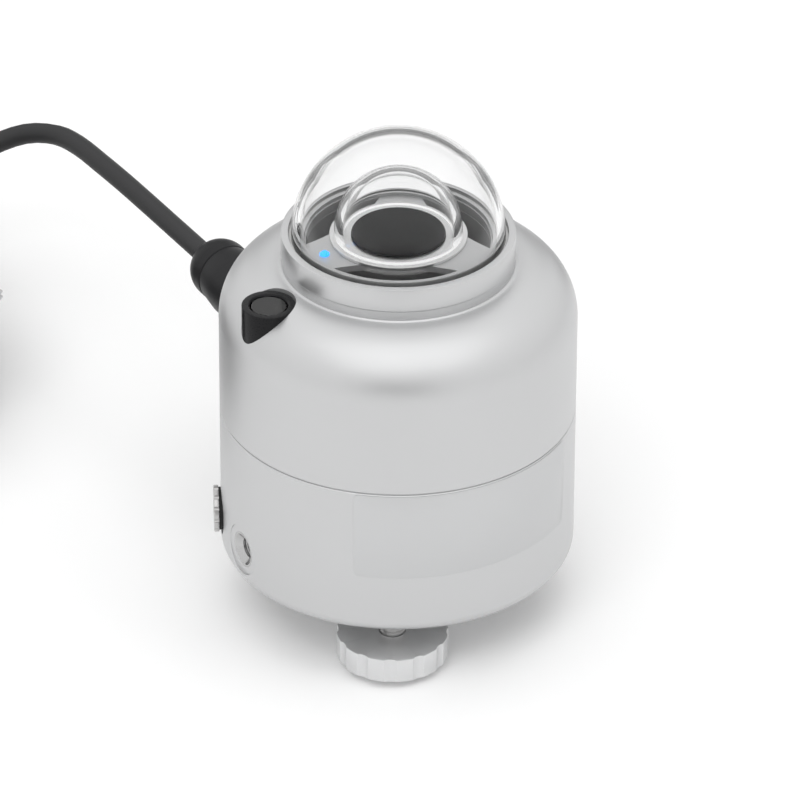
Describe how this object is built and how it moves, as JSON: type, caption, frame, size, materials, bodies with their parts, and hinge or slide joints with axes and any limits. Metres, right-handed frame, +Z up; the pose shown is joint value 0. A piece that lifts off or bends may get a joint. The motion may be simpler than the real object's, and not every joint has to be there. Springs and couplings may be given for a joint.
{
  "type": "pyranometer",
  "caption": "Ventilated pyranometer: round aluminium housing with nested glass domes over a black sensor, bubble level, levelling feet and a coiled cable on a round connector.",
  "frame": {"origin": "centre of the housing's flat underside, midway between the two mounting threads", "axes": "+Z up along the housing's axis, towards the domes; +Y towards the side with the connector and cable; +X towards the fixed foot"},
  "size_m": [0.1721, 0.2299, 0.1239],
  "materials": {
    "housing": "fine bead-blasted and clear anodised, satin",
    "collar": "turned, fine satin, bright chamfer",
    "vent_plate": "fine blasted, satin",
    "silver_hub": "bright satin",
    "wheel_metal": "turned, satin with bright chamfers",
    "steel": "stainless, fine turned",
    "insert_steel": "bright turned",
    "brass": "nickel-free bright turned",
    "gold_pins": "gold flashed",
    "tin": "tinned",
    "outer_glass": "polished optical glass",
    "inner_glass": "polished optical glass",
    "absorber_paint": "dead matt black coating",
    "ceramic": "pressed and filled",
    "led_blue": "clear moulded, lit",
    "seal_rubber": "matt black rubber",
    "glass_sealant": "light grey cured sealant",
    "pad_rubber": "matt black rubber",
    "label_film": "plain satin film, bare",
    "black_moulding": "fine matt moulding",
    "cable_jacket": "matt extruded jacket",
    "tie_nylon": "matt woven strap",
    "circuit_green": "solder mask",
    "chips": "moulded",
    "red_wire": "extruded",
    "blue_wire": "extruded",
    "grey_wire": "extruded",
    "wire_set": "extruded, one colour a wire",
    "level_black": "satin black",
    "level_white": "satin",
    "level_fluid": "clear tinted liquid",
    "level_air": "air bubble",
    "level_glass": "polished"
  },
  "bodies": {
    "housing": {"base": "housing", "upper_body": "housing", "body_seal": "seal_rubber", "body_screws": "steel", "screw_seals": "seal_rubber", "thread_insert": "insert_steel", "label": "label_film", "dome_collar": "collar", "collar_seal": "seal_rubber", "outer_dome": "outer_glass", "dome_seal": "glass_sealant", "inner_dome": "inner_glass", "spoke_plate": "vent_plate", "sensor_hub": "silver_hub", "absorber": "absorber_paint", "thermopile": "ceramic", "hub_nut": "steel", "status_led": "led_blue", "fan_bracket": "vent_plate", "fan_frame": "black_moulding", "fan_screws": "steel", "circuit_board": "circuit_green", "board_parts": "chips", "board_standoffs": "brass", "board_screws": "steel", "sensor_leads": "red_wire", "fan_leads": "blue_wire", "socket_leads": "grey_wire", "level_holder": "level_black", "level_dial": "level_white", "level_liquid": "level_fluid", "level_bubble": "level_air", "level_lens": "level_glass", "fixed_foot": "wheel_metal", "fixed_foot_pad": "pad_rubber", "panel_socket": "tin", "socket_seal": "seal_rubber", "socket_nut": "brass", "socket_pins": "gold_pins", "plug_insert": "black_moulding", "plug_wires": "wire_set", "plug_body": "black_moulding", "gland_cap": "black_moulding", "gland_seal": "seal_rubber", "cable_run": "cable_jacket", "cable_coil": "cable_jacket", "coil_ties": "tie_nylon", "end_sleeve": "seal_rubber", "end_wires": "wire_set", "wire_ferrules": "tin"},
    "side_plug_seal": {"side_plug_seal": "seal_rubber"},
    "side_plug": {"side_plug": "steel"},
    "fan_rotor": {"fan_rotor": "black_moulding"},
    "coupling_ring": {"coupling_ring": "black_moulding"},
    "front_foot_pad": {"front_foot_pad": "pad_rubber"},
    "front_foot": {"front_foot_wheel": "wheel_metal", "front_foot_screw": "steel"},
    "back_foot_pad": {"back_foot_pad": "pad_rubber"},
    "back_foot": {"back_foot_wheel": "wheel_metal", "back_foot_screw": "steel"}
  },
  "joints": [
    {"name": "side_plug_slide", "type": "slide", "parent": "housing", "child": "side_plug_seal", "axis": [-0.9063, 0.4226, 0], "range_m": [0, 0.0075]},
    {"name": "side_plug_turn", "type": "hinge", "parent": "side_plug_seal", "child": "side_plug", "pos_m": [-0.03752, 0.0175, 0.0096], "axis": [-0.9063, 0.4226, 0], "range_deg": [0, 2160]},
    {"name": "fan_spin", "type": "hinge", "parent": "housing", "child": "fan_rotor", "pos_m": [0, 0, 0.06], "axis": [0, 0, 1], "continuous": true},
    {"name": "coupling_ring_turn", "type": "hinge", "parent": "housing", "child": "coupling_ring", "pos_m": [-0.00196, 0.04996, 0.03], "axis": [-0.0393, 0.9992, 0], "continuous": true},
    {"name": "front_foot_slide", "type": "slide", "parent": "housing", "child": "front_foot_pad", "axis": [0, 0, 1], "range_m": [-0.005, 0.005]},
    {"name": "front_foot_turn", "type": "hinge", "parent": "front_foot_pad", "child": "front_foot", "pos_m": [-0.015, -0.02598, -0.0095], "axis": [0, 0, 1], "range_deg": [-1800, 1800]},
    {"name": "back_foot_slide", "type": "slide", "parent": "housing", "child": "back_foot_pad", "axis": [0, 0, 1], "range_m": [-0.005, 0.005]},
    {"name": "back_foot_turn", "type": "hinge", "parent": "back_foot_pad", "child": "back_foot", "pos_m": [-0.015, 0.02598, -0.0095], "axis": [0, 0, 1], "range_deg": [-1800, 1800]}
  ],
  "couplings": [
    {"joint": "side_plug_slide", "follows": "side_plug_turn", "m_per_rad": 0.00019894},
    {"joint": "front_foot_slide", "follows": "front_foot_turn", "m_per_rad": 0.00015915},
    {"joint": "back_foot_slide", "follows": "back_foot_turn", "m_per_rad": 0.00015915}
  ]
}
